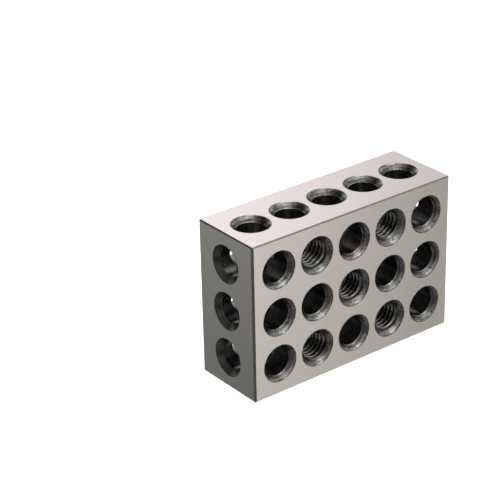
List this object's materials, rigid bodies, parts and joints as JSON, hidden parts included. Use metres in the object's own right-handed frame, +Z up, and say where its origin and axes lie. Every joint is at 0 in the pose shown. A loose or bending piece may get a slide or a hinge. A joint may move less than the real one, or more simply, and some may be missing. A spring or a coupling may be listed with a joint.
{
  "type": "machinist setup block",
  "caption": "Hardened and ground rectangular steel block with crossing countersunk through holes, some of them tapped, for propping, squaring and clamping work on a machine table.",
  "frame": {"origin": "centre of the 3 by 1 inch face that the block stands on", "axes": "+X along the 3 inch length, +Y from the front face to the back face through the 1 inch thickness, +Z up the 2 inch height"},
  "size_m": [0.0762, 0.0254, 0.0508],
  "materials": {
    "ground_steel": "ground, satin"
  },
  "bodies": {
    "root": {"setup_block": "ground_steel"}
  },
  "joints": []
}
